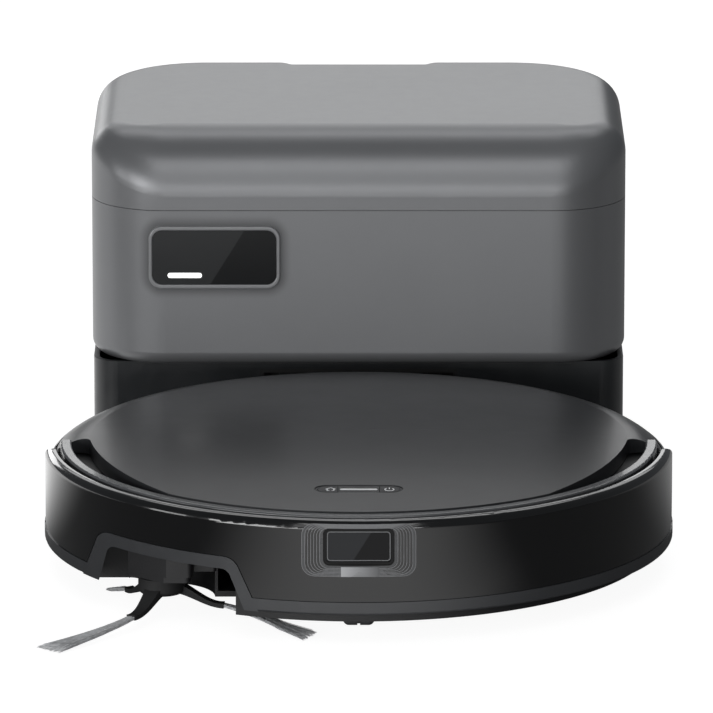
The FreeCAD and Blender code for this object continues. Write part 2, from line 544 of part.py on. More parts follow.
def lid_solid(z0, d):
    """Rounded prism whose top edge is rounded wide in front, tighter at the
    sides and the back, and changes from one to the other round the front corners."""
    b = st_prism(z0, ST_Z2 - d, d)
    rf, rs = ST_TOP_R - d, ST_TOP_SIDE - d
    doc = FreeCAD.newDocument("lid")
    base = doc.addObject("Part::Feature", "base")
    base.Shape = b
    todo = []
    for i, e in enumerate(b.Edges, 1):
        q = bb(e)
        if abs(q.ZMin - (ST_Z2 - d)) > 0.01 or abs(q.ZMax - (ST_Z2 - d)) > 0.01:
            continue
        if q.XLength > 150 and q.YMax < ST_Y0 + d + 1:
            todo.append((i, rf, rf))
        elif q.YMax < ST_Y0 + d + 41 and q.YLength > 20:
            at_front = e.valueAt(e.FirstParameter).y < q.YMin + 1
            todo.append((i, rf, rs) if at_front else (i, rs, rf))
        else:
            todo.append((i, rs, rs))
    f = doc.addObject("Part::Fillet", "top")
    f.Base = base
    f.Edges = todo
    doc.recompute()
    out = f.Shape.copy()
    FreeCAD.closeDocument("lid")
    return out


NOTCH = [(-37, 343), (37, 343), (45.4, 352), (47, 364), (47, 385), (-47, 385), (-47, 364), (-45.4, 352)]
lid = lid_solid(ST_Z1 + SEAM, 0.0)
lid = cut(lid, lid_solid(ST_Z1 - 5, ST_WALL))
notch_wall = prism_z([(-39, 340), (39, 340), (48.4, 350.2), (50.4, 362), (-50.4, 362), (-48.4, 350.2)],
                     ST_Z1 + SEAM, 200).common(lid_solid(ST_Z1 + SEAM, 0.0))
lid = fuse(lid, notch_wall)
lid = cut(lid, prism_z(NOTCH, 100, 220))
lug = fuse(box(-21.7, 21.7, 341, HINGE_Y, ST_Z1 + SEAM, 154.2), cylx(3.0, -21.7, 21.7, HINGE_Y, HINGE_Z))
lid = fuse(lid, lug)
lid = cut(lid, cylx(1.55, -60, 60, HINGE_Y, HINGE_Z))
put("station_lid", lid)

hs = st_prism(ST_Z0, ST_Z1, 0.0)
hs = hs.makeFillet(7.0, [e for e in hs.Edges if abs(bb(e).ZMin - ST_Z0) < 0.01 and abs(bb(e).ZMax - ST_Z0) < 0.01])
hs = cut(hs, st_prism(ST_Z0 + 3.0, ST_Z1 + 5, ST_WALL))
for s in (-1, 1):
    xa, xb = sorted((s * 22.1, s * 40.0))
    hs = fuse(hs, box(xa, xb, 361.5, HINGE_Y, 148.7, ST_Z1 - 0.05), cylx(3.0, xa, xb, HINGE_Y, HINGE_Z))
hs = fuse(hs, cylx(1.5, -40.0, 40.0, HINGE_Y, HINGE_Z))
hs = fuse(hs, box(-50, 50, 339.5, 361, 147.0, ST_Z1))         # ledge under the lid's notch
FLOOR_HOLE = (88.0, 262.0, 16.0)
hs = cut(hs, cyl(FLOOR_HOLE[2], 60, 75, FLOOR_HOLE[0], FLOOR_HOLE[1]))
hs = cut(hs, box(-24.2, 24.2, 330.0, 356.2, 60, 75))        # the duct comes up through the floor

# --- badge on the front
BX0, BX1, BZ0, BZ1 = -112.2, -42.0, 109.15, 143.25
bf = rbox(BX0, BX1, 156.0, ST_Y0, BZ0, BZ1, 7.0, "Y")
bf = cut(bf, rbox(BX0 + 1.9, BX1 - 1.9, 150, 157.3, BZ0 + 2.25, BZ1 - 2.25, 5.4, "Y"))
bf = fillet(bf, 0.7, lambda e: abs(bb(e).YMin - 156.0) < 0.01 and abs(bb(e).YMax - 156.0) < 0.01, "badge frame")
put("badge_frame", bf)
bg = rbox(BX0 + 2.0, BX1 - 2.0, 156.3, 157.3, BZ0 + 2.35, BZ1 - 2.35, 5.3, "Y")
ledb = box(-92.9 - 9.1, -92.9 + 9.1, 156.15, 156.9, 116.5 - 1.35, 116.5 + 1.35)
ledb = ledb.makeFillet(1.3, edges_along(ledb, "Y"))
put("badge_glass", bg.cut(ledb))
put("badge_light", ledb)

# --- lower column
def col_prism(z0, z1, d):
    b = box(-COL_X + d, COL_X - d, COL_Y0 + d, COL_Y1 - d, z0, z1)
    b = b.makeFillet(13.0 - d, [e for e in edges_along(b, "Z") if bb(e).YMin < COL_Y0 + d + 1])
    return b.makeFillet(58.0 - d, [e for e in edges_along(b, "Z") if bb(e).YMin > COL_Y1 - d - 1])


cl = cut(col_prism(5.0, ST_Z0, 0.0), col_prism(0, 80, 3.0))
cl = cut(cl, box(-BAY_X, BAY_X, 160, 175, 5.0, 62.0))
GR_X0, GR_X1 = -83.0, -31.0
for k in range(11):
    gx = GR_X0 + 2.2 + k * 4.4
    cl = cut(cl, box(gx, gx + 2.4, 350, 370, 19, 51))
INL_X, INL_Z = 66.0, 24.0
cl = cut(cl, rbox(INL_X - 12, INL_X + 12, 355, 365, INL_Z - 9, INL_Z + 9, 2.0, "Y"))
cl = fuse(cl, box(-139.6, -134.0, 190, 290, 5, 12), box(134.0, 139.6, 190, 290, 5, 12))
put("lower_column", cl)
bl = cut(box(-BAY_X, BAY_X, 168.0, 179.0, 5.0, 62.0), box(-BAY_X + 2, BAY_X - 2, 160, BAY_Y, 5.0 - 1, 60.0))
CX, CZ0, CZ1 = 38.0, 40.0, 48.0
for s in (-1, 1):
    bl = cut(bl, box(s * CX - 4.4, s * CX + 4.4, 170, 190, CZ0 - 0.4, CZ1 + 0.4))
bl = cut(bl, rbox(-26.0, 26.0, 170, 190, 15.5, 42.5, 3.0, "Y"))
for nm, s in (("left", -1), ("right", 1)):
    c = rbox(s * CX - 4.0, s * CX + 4.0, 158.6, 183.0, CZ0, CZ1, 1.2, "Y")
    c = fillet(c, 1.0, lambda e: abs(bb(e).YMin - 158.6) < 0.01 and abs(bb(e).YMax - 158.6) < 0.01, "contact nose")
    put("contact_" + nm, c)
hold = []
for s in (-1, 1):
    h = cut(box(s * CX - 7, s * CX + 7, 179.0, 190.0, CZ0 - 3, CZ1 + 3), box(s * CX - 4.4, s * CX + 4.4, 178, 187.0, CZ0 - 0.4, CZ1 + 0.4))
    hold.append(h)
put("dock_bay", fuse(bl, *hold))
gk = rbox(-26.0, 26.0, 163.8, 179.0, 15.5, 42.5, 3.0, "Y")
gk = cut(gk, rbox(-22.0, 22.0, 150, 190, 19.5, 38.5, 2.0, "Y"))
gk = fillet(gk, 1.2, lambda e: abs(bb(e).YMin - 163.8) < 0.01 and abs(bb(e).YMax - 163.8) < 0.01, "port lip")
put("suction_gasket", gk)

# --- duct, bag, motor, filter, electrics
dh = cut(box(-24, 24, 179.0, 356, 13.5, 44.5), box(-22, 22, 170, 354, 15.5, 42.5))
dv = cut(box(-24, 24, 330.2, 356, 40, 130), box(-22, 22, 332.2, 354, 40, 128))
duct = fuse(box(-24, 24, 179.0, 356, 13.5, 44.5), box(-24, 24, 330.2, 356, 40, 130))
duct = cut(duct, box(-22, 22, 170, 354, 15.5, 42.5), box(-22, 22, 332.2, 354, 30, 128), cyly(14.0, 325, 340, 0, 108))
put("suction_duct", duct)
cp = rbox(-46, 46, 326.4, 329.8, 74, 146, 5.0, "Y")
cp = cut(cp, cyly(14.0, 320, 340, 0, 108))
put("bag_collar", cp)
rails = fuse(box(-51, -46.4, 326.5, 330.0, 69.2, 146), box(46.4, 51, 326.5, 330.0, 69.2, 146), box(-51, 51, 326.5, 330.0, 69.2, 73.6))
put("station_housing", fuse(hs, rails))
bag = rbox(-118, 118, 186, 326.2, 72.0, 146.0, 30.0, "Z")
bag = fillet(bag, 16.0, lambda e: (abs(bb(e).ZMin - 146) < 0.01 and abs(bb(e).ZMax - 146) < 0.01)
             or (abs(bb(e).ZMin - 72) < 0.01 and abs(bb(e).ZMax - 72) < 0.01), "bag edges")
put("dust_bag", bag)
mo = fuse(cyl(38, 9, 52, FLOOR_HOLE[0], FLOOR_HOLE[1]), cyl(24, 52, 58, FLOOR_HOLE[0], FLOOR_HOLE[1]),
          cut(cyl(22, 58, 66.4, FLOOR_HOLE[0], FLOOR_HOLE[1]), cyl(16, 57, 70, FLOOR_HOLE[0], FLOOR_HOLE[1])))
mo = fillet(mo, 3.0, lambda e: abs(bb(e).ZMin - 52) < 0.01 and abs(bb(e).ZMax - 52) < 0.01 and bb(e).XLength > 60, "motor shoulder")
put("suction_motor", mo)
ef = fuse(box(GR_X0, GR_X1, 346, 348, 16, 54), *[box(GR_X0 + 1.5 + 4.0 * k, GR_X0 + 3.5 + 4.0 * k, 347.5, 357.6, 17, 53) for k in range(12)])
put("exhaust_filter", ef)
pb = fuse(box(-116, -60, 200, 320, 12, 13.6), box(-110, -86, 210, 240, 13.6, 34), box(-80, -66, 250, 280, 13.6, 26),
          cyl(6, 13.6, 34, -100, 262), cyl(6, 13.6, 34, -100, 280), box(-112, -104, 296, 312, 13.6, 24),
          box(-114, -108, 204, 207, 5.0, 12), box(-68, -62, 204, 207, 5.0, 12), box(-114, -108, 314, 317, 5.0, 12), box(-68, -62, 314, 317, 5.0, 12))
put("power_board", pb)
pi = rbox(INL_X - 12, INL_X + 12, 345, 361.6, INL_Z - 9, INL_Z + 9, 2.0, "Y")
pi = cut(pi, rbox(INL_X - 8.5, INL_X + 8.5, 349.5, 370, INL_Z - 4.5, INL_Z + 4.5, 4.3, "Y"))
pi = fuse(pi, cyly(1.2, 347, 358.5, INL_X - 4.2, INL_Z), cyly(1.2, 347, 358.5, INL_X + 4.2, INL_Z))
put("power_inlet", pi)

# --- base plate, feet, screws
bp = prism_x([(PLATE_Y0, 1.5), (360, 1.5), (360, 5.0), (PLATE_Y0 + 9, 5.0), (PLATE_Y0, 2.4)], -140, 140)
bp_c = [e for e in bp.Edges if abs(bb(e).XLength) < 0.01 and abs(bb(e).YLength) < 0.01 and abs(abs(bb(e).XMin) - 140) < 0.01]
bp = bp.makeFillet(18.0, [e for e in bp_c if bb(e).YMin < 200])
bp = bp.makeFillet(55.0, [e for e in bp.Edges if abs(bb(e).XLength) < 0.01 and abs(bb(e).YLength) < 0.01 and bb(e).YMin > 355])
FEET = [(-120, 76), (120, 76), (-120, 200), (120, 200), (-110, 324), (110, 324), (0, 76), (0, 336)]
for k in range(7):
    bp = bp.fuse(box(-60 + k * 20 - 1.2, -60 + k * 20 + 1.2, 66, 150, 5.0, 5.6))
bp = bp.removeSplitter()
put("base_plate", bp)
put("rubber_feet", Part.makeCompound([fillet(cyl(9, 0, 1.5, x, y), 0.5, lambda e: abs(bb(e).ZMax) < 0.01, "foot") for x, y in FEET]))
ss = []
for x, y in [(-134, 186), (134, 186), (-118, 328), (118, 328), (-60, 186), (60, 186)]:
    h = cut(cyl(3.2, 5.0, 7.2, x, y), box(x - 2, x + 2, y - 0.4, y + 0.4, 6.4, 8), box(x - 0.4, x + 0.4, y - 2, y + 2, 6.4, 8))
    ss.append(h)
put("station_screws", Part.makeCompound(ss))

# ---------------------------------------------------------------- export
lo = [1e9] * 3
hi = [-1e9] * 3
for name, shape in NODES.items():
    shape = shape.copy()
    shape.translate(V(0, SHIFT_Y, 0))
    if not shape.isValid():
        print("NOT VALID", name)
    if len(shape.Solids) == 0:
        print("NO SOLID", name)
    b = shape.optimalBoundingBox(True, False)
    print("%-22s solids %2d vol %9.0f  x %7.2f %7.2f  y %7.2f %7.2f  z %6.2f %6.2f" % (
        name, len(shape.Solids), shape.Volume, b.XMin, b.XMax, b.YMin - SHIFT_Y, b.YMax - SHIFT_Y, b.ZMin, b.ZMax))
    lo = [min(lo[0], b.XMin), min(lo[1], b.YMin), min(lo[2], b.ZMin)]
    hi = [max(hi[0], b.XMax), max(hi[1], b.YMax), max(hi[2], b.ZMax)]
    shape.exportStep("parts/%s.step" % name)
print("nodes", len(NODES))
print("box", lo, hi, "middle of Y in local axes", (lo[1] + hi[1]) / 2 - SHIFT_Y)
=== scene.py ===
import bpy, bmesh, json, math, random
from mathutils import Vector, Matrix, noise

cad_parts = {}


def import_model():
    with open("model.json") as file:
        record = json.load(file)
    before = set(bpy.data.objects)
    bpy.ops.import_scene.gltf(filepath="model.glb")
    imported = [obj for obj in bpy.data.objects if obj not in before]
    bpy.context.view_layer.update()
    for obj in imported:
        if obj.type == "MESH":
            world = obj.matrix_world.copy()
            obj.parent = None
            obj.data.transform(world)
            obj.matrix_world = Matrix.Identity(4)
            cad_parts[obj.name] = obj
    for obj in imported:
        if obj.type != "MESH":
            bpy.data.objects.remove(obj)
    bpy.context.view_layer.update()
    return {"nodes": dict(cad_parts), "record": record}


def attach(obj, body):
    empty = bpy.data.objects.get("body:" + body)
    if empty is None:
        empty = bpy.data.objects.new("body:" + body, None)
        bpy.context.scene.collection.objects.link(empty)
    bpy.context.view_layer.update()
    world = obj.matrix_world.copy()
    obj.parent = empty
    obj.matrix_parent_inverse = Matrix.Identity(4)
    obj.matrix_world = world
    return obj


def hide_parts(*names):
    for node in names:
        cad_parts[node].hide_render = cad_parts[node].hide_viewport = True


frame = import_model()
N = frame["nodes"]

RY = -0.0963190          # the robot's centre on Y, in metres
MM = 0.001


def P(x, y, z):
    """Millimetres about the robot's centre -> metres in the row frame."""
    return Vector((x * MM, y * MM + RY, z * MM))


scene = bpy.context.scene
COL = scene.collection

# ------------------------------------------------------------------ camera
cam_d = bpy.data.cameras.new("camera")
cam = bpy.data.objects.new("camera", cam_d)
COL.objects.link(cam)
cam.location = (-0.00114, RY - 4.3436, 1.1838)
cam.rotation_euler = (math.radians(76.12), 0, 0)
cam_d.sensor_width = 36.0
cam_d.lens = 436.9
cam_d.clip_start = 0.5
cam_d.clip_end = 60.0
scene.camera = cam
scene.view_settings.view_transform = "Standard"
scene.view_settings.look = "None"
scene.view_settings.exposure = 0.0
scene.view_settings.gamma = 1.0


# --------------------------------------------------------------- materials
def srgb(v):
    """0..255 grey value or triple -> linear RGBA."""
    if not hasattr(v, "__len__"):
        v = (v, v, v)
    out = []
    for c in v:
        c = c / 255.0
        out.append(c / 12.92 if c <= 0.04045 else ((c + 0.055) / 1.055) ** 2.4)
    return (out[0], out[1], out[2], 1.0)


class M:
    """One procedural material: a Principled shader with texture-driven colour, roughness and bump."""

    def __init__(self, name, base, rough, metallic=0.0, coat=0.0, coat_rough=0.05, spec=0.5, ior=1.5,
                 vary=0.05, vary_scale=30.0, rough_vary=0.04, rough_scale=120.0,
                 grain=0.0, grain_scale=2600.0, grain_kind="noise", sheen=0.0, trans=0.0, alpha=1.0,
                 emit=None, emit_strength=0.0):
        m = bpy.data.materials.new(name)
        m.use_nodes = True
        nt = m.node_tree
        for n in list(nt.nodes):
            nt.nodes.remove(n)
        self.m, self.nt = m, nt
        out = nt.nodes.new("ShaderNodeOutputMaterial")
        b = nt.nodes.new("ShaderNodeBsdfPrincipled")
        nt.links.new(b.outputs[0], out.inputs[0])
        self.b = b
        self.tc = nt.nodes.new("ShaderNodeTexCoord")
        b.inputs["Metallic"].default_value = metallic
        b.inputs["Coat Weight"].default_value = coat
        b.inputs["Coat Roughness"].default_value = coat_rough
        b.inputs["Specular IOR Level"].default_value = spec
        b.inputs["IOR"].default_value = ior
        b.inputs["Sheen Weight"].default_value = sheen
        b.inputs["Transmission Weight"].default_value = trans
        b.inputs["Alpha"].default_value = alpha
        if emit is not None:
            b.inputs["Emission Color"].default_value = emit
            b.inputs["Emission Strength"].default_value = emit_strength
        # colour
        if vary > 0:
            t = self.noise(vary_scale, 3.0, 0.55)
            r = nt.nodes.new("ShaderNodeValToRGB")
            lo = tuple(min(1.0, c * (1 - vary)) for c in base[:3]) + (1,)
            hi = tuple(min(1.0, c * (1 + vary)) for c in base[:3]) + (1,)
            r.color_ramp.elements[0].position, r.color_ramp.elements[0].color = 0.32, lo
            r.color_ramp.elements[1].position, r.color_ramp.elements[1].color = 0.68, hi
            nt.links.new(t.outputs["Fac"], r.inputs["Fac"])
            nt.links.new(r.outputs["Color"], b.inputs["Base Color"])
        else:
            b.inputs["Base Color"].default_value = base
        # roughness
        if rough_vary > 0:
            t = self.noise(rough_scale, 4.0, 0.6)
            mr = nt.nodes.new("ShaderNodeMapRange")
            mr.inputs["From Min"].default_value, mr.inputs["From Max"].default_value = 0.3, 0.7
            mr.inputs["To Min"].default_value = max(0.0, rough - rough_vary)
            mr.inputs["To Max"].default_value = min(1.0, rough + rough_vary)
            nt.links.new(t.outputs["Fac"], mr.inputs["Value"])
            nt.links.new(mr.outputs["Result"], b.inputs["Roughness"])
        else:
            b.inputs["Roughness"].default_value = rough
        # bump
        if grain > 0:
            if grain_kind == "noise":
                t = self.noise(grain_scale, 2.0, 0.5)
                h = t.outputs["Fac"]
            elif grain_kind == "spark":
                t = nt.nodes.new("ShaderNodeTexVoronoi")
                t.feature = "SMOOTH_F1"
                t.inputs["Scale"].default_value = grain_scale
                nt.links.new(self.tc.outputs["Object"], t.inputs["Vector"])
                h = t.outputs["Distance"]
            bump = nt.nodes.new("ShaderNodeBump")
            bump.inputs["Strength"].default_value = 1.0
            bump.inputs["Distance"].default_value = grain
            nt.links.new(h, bump.inputs["Height"])
            nt.links.new(bump.outputs["Normal"], b.inputs["Normal"])

    def noise(self, scale, detail, rough):
        t = self.nt.nodes.new("ShaderNodeTexNoise")
        t.inputs["Scale"].default_value = scale
        t.inputs["Detail"].default_value = detail
        t.inputs["Roughness"].default_value = rough
        self.nt.links.new(self.tc.outputs["Object"], t.inputs["Vector"])
        return t


MATS = {
    "station_grey": M("station_grey_plastic", srgb((118, 119, 121)), 0.36, metallic=0.5, vary=0.02, vary_scale=14, rough_vary=0.01, grain=0.000008, grain_scale=1800, grain_kind="spark"),
    "column_dark": M("column_dark_plastic", srgb((30, 32, 34)), 0.32, coat=0.3, coat_rough=0.2, vary=0.05, grain=0.00002, grain_kind="spark", grain_scale=1800),
    "bay_black": M("bay_black_plastic", srgb(9), 0.5, vary=0.1, grain=0.00003, grain_kind="spark", grain_scale=1500),
    "cover_black": M("cover_gloss", srgb((41, 42, 44)), 0.32, spec=0.28, coat=0.08, coat_rough=0.15, vary=0.03, vary_scale=9, rough_vary=0.015, rough_scale=40),
    "bumper_black": M("bumper_gloss", srgb((9, 9, 10)), 0.13, coat=0.6, coat_rough=0.04, vary=0.05, rough_vary=0.015, grain=0.000002, grain_scale=600),
    "skirt_grey": M("skirt_satin", srgb((52, 53, 55)), 0.32, vary=0.05, grain=0.00002, grain_kind="spark", grain_scale=1600),
    "ring_grey": M("ring_semigloss", srgb((74, 75, 77)), 0.24, coat=0.3, vary=0.03, rough_vary=0.02, grain=0.000004),
    "chassis_black": M("chassis_textured", srgb((20, 20, 22)), 0.5, vary=0.08, grain=0.00004, grain_kind="spark", grain_scale=1300),
    "rubber_black": M("rubber_matt", srgb((22, 22, 23)), 0.7, vary=0.1, grain=0.00003, grain_scale=2000),
    "tyre_black": M("tyre_rubber", srgb((20, 20, 21)), 0.78, vary=0.12, grain=0.00006, grain_scale=1500),
    "hub_grey": M("hub_satin", srgb((92, 93, 95)), 0.4, vary=0.05, grain=0.00002, grain_kind="spark", grain_scale=1500),
    "bristle_grey": M("bristle_nylon", srgb((196, 197, 199)), 0.45, vary=0.18, vary_scale=400, sheen=0.2),
    "glass_black": M("window_glass", srgb((6, 6, 7)), 0.06, coat=1.0, coat_rough=0.02, vary=0.0, rough_vary=0.0),
    "light_white": M("light_bar", srgb(250), 0.3, vary=0.0, rough_vary=0.0, emit=(1, 1, 1, 1), emit_strength=1.4),
    "contact_metal": M("contact_nickel", srgb((190, 186, 178)), 0.28, metallic=1.0, vary=0.05, vary_scale=300, grain=0.000005, grain_scale=4000),
    "steel": M("screw_steel", srgb((150, 150, 152)), 0.35, metallic=1.0, vary=0.08, vary_scale=400, grain=0.00001, grain_scale=3000),
    "bag_cloth": M("bag_nonwoven", srgb((226, 226, 222)), 0.85, vary=0.06, vary_scale=350, sheen=0.3, grain=0.00012, grain_scale=1400),
    "card": M("pressed_card", srgb((196, 186, 168)), 0.8, vary=0.1, vary_scale=500, grain=0.00006, grain_scale=1800),
    "filter_cloth": M("filter_paper", srgb((230, 229, 222)), 0.9, vary=0.05, vary_scale=500, grain=0.00008, grain_scale=1600),
    "board_green": M("board_mask", srgb((18, 84, 52)), 0.35, vary=0.2, vary_scale=160, coat=0.3),
    "motor_grey": M("motor_can", srgb((140, 142, 146)), 0.32, metallic=0.9, vary=0.05, grain=0.00001, grain_scale=2500),
    "battery_wrap": M("battery_wrap", srgb((30, 66, 120)), 0.3, coat=0.3, vary=0.08, vary_scale=60, grain=0.00006, grain_scale=90),
    "smoke_clear": M("smoked_plastic", srgb((42, 43, 46)), 0.15, coat=0.3, vary=0.05, trans=0.35, ior=1.49),
}
NODE_SLOT = {s["node"]: s["material_slot"] for s in frame["record"]["subparts"]}


def paint(obj, slot_name):
    obj.data.materials.clear()
    obj.data.materials.append(MATS[slot_name].m)


for name, o in N.items():
    paint(o, NODE_SLOT.get(name, "chassis_black"))


# ------------------------------------------------------- special materials
def station_with_painted_badge_shade():
    """Station plastic with painted shade: the colour is darkened in a soft band round the badge, by the distance to the
    badge's outline.
    """
    mat = M("station_grey_painted_badge_shade", srgb((118, 119, 121)), 0.36, metallic=0.5, vary=0.02, vary_scale=14, rough_vary=0.01,
            grain=0.000008, grain_scale=1800, grain_kind="spark")
    nt, b = mat.nt, mat.b
    sep = nt.nodes.new("ShaderNodeSeparateXYZ")
    nt.links.new(mat.tc.outputs["Object"], sep.inputs[0])

    def math_(op, a, c=None, clamp=False):
        n = nt.nodes.new("ShaderNodeMath")
        n.operation = op
        n.use_clamp = clamp
        for i, v in enumerate((a, c)):
            if v is None:
                continue
            if hasattr(v, "is_linked") or hasattr(v, "links"):
                nt.links.new(v, n.inputs[i])
            else:
                n.inputs[i].default_value = v
        return n.outputs[0]

    cx, cz, hx, hz, rr = -0.0771, 0.1262, 0.0351, 0.01705, 0.007
    dx = math_("MAXIMUM", math_("SUBTRACT", math_("ABSOLUTE", math_("SUBTRACT", sep.outputs["X"], cx)), hx - rr), 0.0)
    dz = math_("MAXIMUM", math_("SUBTRACT", math_("ABSOLUTE", math_("SUBTRACT", sep.outputs["Z"], cz)), hz - rr), 0.0)
    ys = [c[1] for c in N["station_housing"].bound_box]
    behind = math_("MAXIMUM", math_("SUBTRACT", sep.outputs["Y"], (min(ys) * 2 + max(ys)) / 3), 0.0)
    flat = math_("SQRT", math_("ADD", math_("MULTIPLY", dx, dx), math_("MULTIPLY", dz, dz)))
    d = math_("ADD", flat, math_("MULTIPLY", behind, 10.0))     # only the front face has the surround
    # painted shade: the base colour is halved at the badge's outline and fades back to full about 6.5 mm outside it
    mr = nt.nodes.new("ShaderNodeMapRange")
    mr.interpolation_type = "SMOOTHSTEP"
    mr.inputs["From Min"].default_value, mr.inputs["From Max"].default_value = 0.0065, 0.0135
    mr.inputs["To Min"].default_value, mr.inputs["To Max"].default_value = 0.5, 1.0
    nt.links.new(d, mr.inputs["Value"])
    src = b.inputs["Base Color"].links[0].from_socket
    mul = nt.nodes.new("ShaderNodeMix")
    mul.data_type = "RGBA"
    mul.blend_type = "MULTIPLY"
    mul.inputs["Factor"].default_value = 1.0
    comb = nt.nodes.new("ShaderNodeCombineColor")
    for k in range(3):
        nt.links.new(mr.outputs["Result"], comb.inputs[k])
    nt.links.new(src, mul.inputs["A"])
    nt.links.new(comb.outputs[0], mul.inputs["B"])
    nt.links.new(mul.outputs["Result"], b.inputs["Base Color"])
    return mat


# station housing: grey plastic with painted shade round the badge
N["station_housing"].data.materials.clear()
N["station_housing"].data.materials.append(station_with_painted_badge_shade().m)


def ramp_x(name, x0, x1, c0, c1, rough=0.3, diag=0.0, hard=False, coat=0.6, coat_rough=0.05, spec=0.5):
    """Gradient along X (or, with diag, along a slanted line in X and Z), in object coordinates."""
    mat = M(name, c0, rough, coat=coat, coat_rough=coat_rough, spec=spec, vary=0.0, rough_vary=0.0)
    nt, b = mat.nt, mat.b
    sep = nt.nodes.new("ShaderNodeSeparateXYZ")
    nt.links.new(mat.tc.outputs["Object"], sep.inputs[0])
    mul = nt.nodes.new("ShaderNodeMath")
    mul.operation = "MULTIPLY_ADD"
    nt.links.new(sep.outputs["Z"], mul.inputs[0])
    mul.inputs[1].default_value = diag
    nt.links.new(sep.outputs["X"], mul.inputs[2])
    mr = nt.nodes.new("ShaderNodeMapRange")
    mr.inputs["From Min"].default_value, mr.inputs["From Max"].default_value = x0, x1
    nt.links.new(mul.outputs[0], mr.inputs["Value"])
    r = nt.nodes.new("ShaderNodeValToRGB")
    r.color_ramp.elements[0].color, r.color_ramp.elements[1].color = c0, c1
    nt.links.new(mr.outputs["Result"], r.inputs["Fac"])
    nt.links.new(r.outputs["Color"], b.inputs["Base Color"])
    return mat


# badge and window glass: black, with a painted reflection: the colour is lighter on one side of a slanted line
N["badge_glass"].data.materials.clear()
N["badge_glass"].data.materials.append(
    ramp_x("badge_glass", -0.1262 * 0.62 + -0.0705, -0.1262 * 0.62 + -0.0700, srgb((46, 47, 48)), srgb((24, 25, 26)),
           rough=0.12, diag=-0.62, coat=0.0, spec=0.2).m)
N["sensor_window"].data.materials.clear()
N["sensor_window"].data.materials.append(
    ramp_x("window_glass_painted_reflection", -0.0522 * 0.62 + 0.0015, -0.0522 * 0.62 + 0.0020, srgb((40, 41, 43)), srgb((20, 20, 21)),
           rough=0.1, diag=-0.62, coat=0.0, spec=0.16).m)
N["sensor_bezel"].data.materials.clear()
N["sensor_bezel"].data.materials.append(
    M("window_frame_black", srgb((8, 8, 9)), 0.34, spec=0.2, vary=0.0, rough_vary=0.0).m)
frame_grey = M("badge_frame_grey", srgb((122, 123, 125)), 0.3, coat=0.3, vary=0.02, rough_vary=0.02)
N["badge_frame"].data.materials.clear()
N["badge_frame"].data.materials.append(frame_grey.m)


# ------------------------------------------------------------- mesh helpers
def mesh_obj(name, verts, faces, slot_name=None, mat=None, body=None, smooth=False, on=None):
    me = bpy.data.meshes.new(name)
    me.from_pydata([tuple(v) for v in verts], [], faces)
    me.update()
    bm = bmesh.new()
    bm.from_mesh(me)
    bmesh.ops.recalc_face_normals(bm, faces=bm.faces)
    bm.to_mesh(me)
    bm.free()
    if smooth:
        for p in me.polygons:
            p.use_smooth = True
    o = bpy.data.objects.new(name, me)
    COL.objects.link(o)
    if mat is not None:
        me.materials.append(mat.m)
    elif slot_name:
        me.materials.append(MATS[slot_name].m)
    if body:
        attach(o, body)
    return o


def slab(loops, place, lift0, lift1):
    """Flat pieces given as outlines of (u, v); place(u, v, lift) gives the point. Returns verts, faces."""
    verts, faces = [], []
    for loop in loops:
        n, k = len(loop), len(verts)
        for u, v in loop:
            verts.append(place(u, v, lift0))
        for u, v in loop:
            verts.append(place(u, v, lift1))
        faces.append(list(range(k + n, k + 2 * n)))
        faces.append(list(reversed(range(k, k + n))))
        for i in range(n):
            j = (i + 1) % n
            faces.append([k + i, k + j, k + n + j, k + n + i])
    return verts, faces


def strip(path, wid, closed=False):
    """Sideways offsets of half the width wid at each point of path (u, v), for a line of that width."""
    out = []
    n = len(path)
    off = []
    for i in range(n):
        if closed:
            a, b = path[(i - 1) % n], path[(i + 1) % n]
        else:
            a, b = path[max(0, i - 1)], path[min(n - 1, i + 1)]
        dx, dy = b[0] - a[0], b[1] - a[1]
        l = math.hypot(dx, dy) or 1.0
        off.append((-dy / l * wid / 2, dx / l * wid / 2))
    return off


def ribbon(paths, place, wid, lift0, lift1, closed=True):
    verts, faces = [], []
    for path in paths:
        off = strip(path, wid, closed)
        n, k = len(path), len(verts)
        for (u, v), (a, b) in zip(path, off):
            verts += [place(u + a, v + b, lift0), place(u - a, v - b, lift0),
                      place(u - a, v - b, lift1), place(u + a, v + b, lift1)]
        for i in range(n if closed else n - 1):
            p, q = k + 4 * i, k + 4 * ((i + 1) % n)
            for c in range(4):
                d = (c + 1) % 4
                faces.append([p + c, p + d, q + d, q + c])
        if not closed:
            faces.append([k, k + 1, k + 2, k + 3])
            e = k + 4 * (n - 1)
            faces.append([e + 3, e + 2, e + 1, e])
    return verts, faces


def rrect(cx, cz, hx, hz, r, seg=6, long_seg=10):
    """Rounded rectangle outline with points along the long sides too."""
    pts = []
    for (sx, sz, a0) in ((1, 1, 0), (-1, 1, 90), (-1, -1, 180), (1, -1, 270)):
        for i in range(seg + 1):
            a = math.radians(a0 + 90.0 * i / seg)
            pts.append((cx + sx * (hx - r) + r * math.cos(a), cz + sz * (hz - r) + r * math.sin(a)))
        nx = {(1, 1): (-1, 1), (-1, 1): (-1, -1), (-1, -1): (1, -1), (1, -1): (1, 1)}[(sx, sz)]
        if sx != nx[0]:        # long run along X
            x_a, x_b = cx + sx * (hx - r), cx + nx[0] * (hx - r)
            z = pts[-1][1]
            for i in range(1, long_seg):
                pts.append((x_a + (x_b - x_a) * i / long_seg, z))
    return pts


def dome_z(x, y, drop=0.0):
    return 72.0 - 5.2 * (x * x + y * y) / (148.0 * 148.0) - drop


def on_dome(drop):
    def place(u, v, lift):
        return P(u, v, dome_z(u, v, drop) + lift)
    return place


def on_bumper(u, v, lift):
    r = 162.5 + lift
    return P(u, -math.sqrt(r * r - u * u), v)
